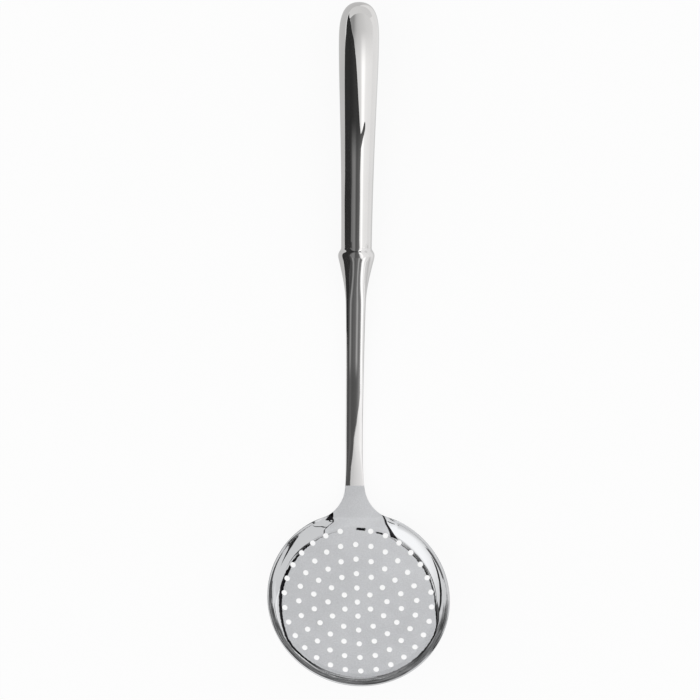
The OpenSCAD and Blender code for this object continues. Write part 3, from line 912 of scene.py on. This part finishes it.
darkCard = {
    "height": 0.055,
    "edge": [(-0.4, 0.45), (-0.105, 0.225), (-0.054, 0.192), (-0.039, 0.179), (-0.032, 0.171), (-0.020, 0.162),
             (-0.016, 0.156), (-0.012, 0.150), (-0.007, 0.138), (-0.003, 0.127), (0.003, 0.114), (0.0075, 0.108),
             (0.013, 0.1095), (0.020, 0.1128), (0.024, 0.1145), (0.031, 0.1135), (0.031, 0.1100), (0.019, 0.1055), (0.010, 0.100),
             (0.008, 0.085), (0.010, 0.072), (0.010, 0.05), (0.014, 0.03)],
    "gripPlain": [(-0.09, 0.035), (-0.05, 0.03), (-0.03, 0.035), (-0.014, 0.05), (0.0, 0.05), (0.01, 0.07)],
    "gripStreaks": [(-0.09, 0.04), (-0.052, 0.045), (-0.038, 0.10), (-0.030, 0.24), (-0.015, 0.27), (-0.011, 0.14),
                    (-0.007, 0.10), (0.004, 0.15), (0.012, 0.24)],
    "shankEdge": [(0.014, 0.03), (0.032, 0.012), (0.033, 0.0), (0.033, -0.02), (0.040, -0.036), (0.040, -0.040), (0.030, -0.0455),
                  (0.019, -0.0505), (0.001, -0.053), (0.001, -0.062), (0.002, -0.068), (0.003, -0.075), (-0.12, -0.075),
                  (-0.4, 0.0), (-0.4, 0.03)],
    "gripStreak": [(-0.036, 0.080), (-0.031, 0.072), (-0.035, 0.045), (-0.046, 0.045), (-0.040, 0.072)],
    "coneStreaks": [(-0.09, 0.12), (-0.07, 0.10), (-0.047, 0.068), (-0.033, 0.11), (-0.026, 0.40), (-0.022, 0.36),
                    (-0.017, 0.2), (-0.011, 0.11), (-0.005, 0.16), (0.0, 0.15), (0.005, 0.22), (0.009, 0.50),
                    (0.012, 0.46), (0.017, 0.2), (0.023, 0.22), (0.032, 0.40)],
    "shankStreaks": [(-0.09, 0.12), (-0.07, 0.10), (-0.045, 0.075), (-0.028, 0.13), (-0.018, 0.15), (-0.011, 0.105),
                     (0.0, 0.11), (0.01, 0.125), (0.018, 0.18), (0.026, 0.30), (0.034, 0.5)],
}
lightCard = {
    "gripTones": [(-0.022, 0.85), (-0.010, 0.9), (-0.003, 1.42), (0.003, 1.42), (0.012, 1.1), (0.04, 1.05), (0.3, 1.0)],
    "gripPlain": [(-0.031, 0.35), (-0.024, 0.5), (-0.019, 0.62), (-0.009, 0.72), (0.001, 0.77), (0.013, 0.84), (0.066, 0.88), (0.3, 0.95)],
    "shankTones": [(-0.049, 0.6), (-0.045, 0.72), (-0.042, 0.85), (-0.038, 0.98), (-0.03, 0.98), (-0.012, 1.2), (-0.006, 1.45),
                   (0.012, 1.45), (0.03, 0.97), (0.3, 0.95)],
    "shankEnd": [(0.0, 0.74), (0.004, 0.77), (0.0075, 0.92), (0.0135, 0.98), (0.03, 1.05), (0.04, 1.14), (0.09, 1.28), (0.3, 1.28)],
}
screen = {
    "footLeft": [(-0.1453, 0.1123), (-0.1162, 0.0804), (-0.0949, 0.03), (-0.0872, 0), (-0.0291, 0)],
    "gap": [(-0.0291, 0.0552), (0.0291, 0.0552)],
    "footRight": [(0.0291, 0), (0.0968, 0), (0.1356, 0.0252), (0.1588, 0.0629), (0.1792, 0.1026)],
    "head": [(0.1985, 0.1481), (0.2101, 0.1966), (0.1666, 0.1801), (0.1491, 0.2063), (0.1472, 0.2508), (0.1395, 0.3118), (0.1094, 0.306),
             (0.0891, 0.275), (0.0707, 0.2508), (0.0368, 0.2382), (0.0077, 0.2431), (-0.0223, 0.2392), (-0.0436, 0.2498), (-0.06, 0.2208),
             (-0.091, 0.2276), (-0.1056, 0.1879), (-0.1462, 0.1985), (-0.1559, 0.154)],
    "bands": [(0.0009474, 0.55), (0.02032, 0.30), (0.03484, 0.06), (0.05905, 0.34), (0.07358, 0.08), (0.08811, 0.04), (0.1123, 0.5), (0.1268, 0.10),
              (0.1414, 0.04), (0.1656, 0.45), (0.1849, 0.04), (0.2043, 0.10), (0.2285, 0.5), (0.2624, 0.15), (0.3205, 0.05)],
}
# flags round the bowl that its lip shows as dark shapes: outlines as (turn from +Y towards +X, rise) in degrees
flagMiddle = (0, -0.14, 0.03)
flags = {
    "crescent": {"distance": 0.11, "tone": 0.02, "outline": [
        (62, 33), (59.4, 38.2), (55.8, 42.8), (50, 46.7), (43.2, 49.7), (34.4, 50.8), (25.7, 50.9), (17.6, 49.8), (10.3, 48.1),
        (4.7, 46.3), (-0.4, 44.2), (-3.3, 42.6), (-5.9, 40.8), (-3.4, 41.6), (-1, 42.5), (4.8, 46), (11.6, 49.3), (19.7, 52.1),
        (29.4, 53.9), (41.9, 53.6), (53.8, 50.9), (60.2, 46.6), (65, 41.2), (63.6, 37.1)]},
    "strip": {"distance": 0.25, "tone": 0.02, "outline": [
        (-39, 57.4), (-40.2, 53.9), (-48.7, 44.8), (-51.5, 36.2), (-51.5, 25.8), (-48.9, 18.3), (-46.5, 11.3),
        (-47.6, 9.2), (-51.6, 14), (-55.8, 20.3), (-60.2, 27.9), (-62.2, 36), (-55.1, 49.8), (-44, 56.9)]},
    "patch": {"distance": 0.11, "tone": 0.12, "outline": [
        (12.3, 47.2), (12.8, 47.4), (11, 48.1), (-6.6, 49.9), (-10.7, 53.6), (-9, 56.5)]},
    "tail": {"distance": 0.25, "tone": 0.12, "outline": [
        (18.1, 43.2), (17.5, 44.6), (16.7, 45.8), (16.9, 46.5), (17, 47.2), (19.2, 47.6), (21.4, 48.4), (23.5, 49.8),
        (25.4, 51.6), (29.5, 51.7), (33.6, 51.7), (35.5, 48.7), (36.6, 45.3), (37.4, 42.3), (37.7, 39.1), (37.4, 36),
        (36.8, 32.9), (36.1, 29.5), (35.1, 26), (27.5, 35.3)]},
    "line": {"distance": 0.25, "tone": 0.1, "outline": [
        (38.3, 13.5), (40.4, 21.9), (41.7, 29.4), (39, 38.2), (36.7, 44.1), (41.5, 42.1), (45.4, 33.6), (46.5, 23.5),
        (44.2, 15.3), (40.7, 7.8)]},
}


def hangCards():
    d, l, s = darkCard, lightCard, screen
    h = d["height"]
    toneCard("darkOverGrip", d["edge"] + [(-0.4, 0.03)], "Z", h, (1, 0, 0), d["gripStreaks"], d["gripPlain"], (0.09, 0.118, 1.0, 0.0))
    toneCard("darkOverShank", d["shankEdge"], "Z", h, (1, 0, 0), d["shankStreaks"], d["coneStreaks"], (-0.032, -0.018, 1.0, 0.0))
    toneCard("lightOverGrip", [(-0.054, 0.20), (0.3, 0.20), (0.3, 0.03), (0.0, 0.03)], "Z", h + 0.0006, (1, 0.12, 0),
             [(at + 0.029, tone) for at, tone in l["gripTones"]], [(at + 0.029, tone) for at, tone in l["gripPlain"]],
             (0.143, 0.173, 1.0, 0.0))
    toneCard("streakOverGrip", d["gripStreak"], "Z", h - 0.0006, (1, 0, 0), [(-0.1, 0.2), (0.1, 0.2)])
    toneCard("lightOverShank", [(0.0, 0.03), (0.3, 0.03), (0.3, -0.06), (0.05, -0.06), (0.035, -0.075), (0.0, -0.075)], "Z", h + 0.0006,
             (1, 0, 0), [(at + 0.047, tone) for at, tone in l["shankTones"]], l["shankEnd"], (-0.06, -0.025, 0.0, 1.0))
    toneCard("darkAtSide", [(0.0, 0.0), (0.075, 0.0), (0.09, 0.007), (0.116, 0.013), (0.141, 0.019), (0.158, 0.024),
                            (0.174, 0.034), (0.19, 0.039), (0.2, h), (-0.012, h), (-0.012, 0.02), (0.0, 0.012)], "X", -0.055, (0, 1, 0), [(0, 0.035), (0.2, 0.035)])
    toneCard("lightAtSide", [(0.0, 0.0), (0.3, 0.0), (0.3, 0.2), (0.0, 0.2)], "X", 0.3, (0, 1, 0), [(0, 0.95), (0.3, 1.0)])
    toneCard("screen", s["footLeft"] + s["gap"] + s["footRight"] + s["head"], "Y", 0.044, (0.12, 0, 1), s["bands"], oneSided=True)
    toneCard("screenPatch", [(-0.03, 0.0), (0.03, 0.0), (0.03, 0.056), (-0.03, 0.056)], "Y", 0.02, (0, 0, 1),
             [(0.0, 0.25), (0.056, 0.3)], oneSided=True)
    for name, f in flags.items():
        card = toneCard(name + "Flag", [(0, 0)] * len(f["outline"]), "Z", h, (1, 0, 0), [(-1, f["tone"]), (1, f["tone"])])
        for v, (turn, rise) in zip(card.data.vertices, f["outline"]):
            way = Vector((degSin(turn) * degCos(rise), degCos(turn) * degCos(rise), degSin(rise)))
            v.co = Vector(flagMiddle) + f["distance"] * way
        card.data.update()


def lightStudio():
    world = bpy.data.worlds.new("studio")
    scene.world = world
    world.use_nodes = True
    tree = world.node_tree
    sky = tree.nodes["Background"]
    coords = tree.nodes.new("ShaderNodeTexCoord")
    split = tree.nodes.new("ShaderNodeSeparateXYZ")
    wire(tree, coords, "Generated", split, "Vector")
    turn = mathNode(tree, "ARCTAN2", split.outputs["X"], split.outputs["Z"])  # from straight up towards the right
    pale, white = studio["paleSky"], studio["whiteSky"]
    around = toneRamp(tree, turn, [(-pi, pale), (radians(-100), pale), (radians(-85), white), (radians(-24), white),
                                   (radians(-12), pale), (pi, pale)])
    plain = toneRamp(tree, turn, [(-pi, pale), (pi, pale)])
    toButt = smoothNode(tree, split.outputs["Y"], -0.14, 0.59)
    rays = tree.nodes.new("ShaderNodeLightPath")
    whole = mixTones(tree, toButt, around, plain)
    white = toneRamp(tree, turn, [(-pi, 1.0), (pi, 1.0)])
    tree.links.new(mixTones(tree, rays.outputs["Is Camera Ray"], whole, white), sky.inputs["Color"])
    sky.inputs["Strength"].default_value = studio["brightest"]


def placeCamera():
    view = {"turn": (-0.279, 5.908, -0.156), "place": (-2.324, -4.302, 2005.98), "focal": 3627.8}
    data = bpy.data.cameras.new("camera")
    data.sensor_width = 36
    data.lens = view["focal"] * 36 / 700
    camera = bpy.data.objects.new("camera", data)
    scene.collection.objects.link(camera)
    turn = [Matrix.Rotation(radians(a), 4, axis) for a, axis in zip(view["turn"], "XYZ")]
    camera.matrix_world = (turn[0] @ turn[1] @ turn[2]).inverted() @ Matrix.Translation(Vector(view["place"]) * mm)
    scene.camera = camera


layTable()
hangCards()
lightStudio()
placeCamera()
scene.view_settings.view_transform = "Standard"
print("studio ready")
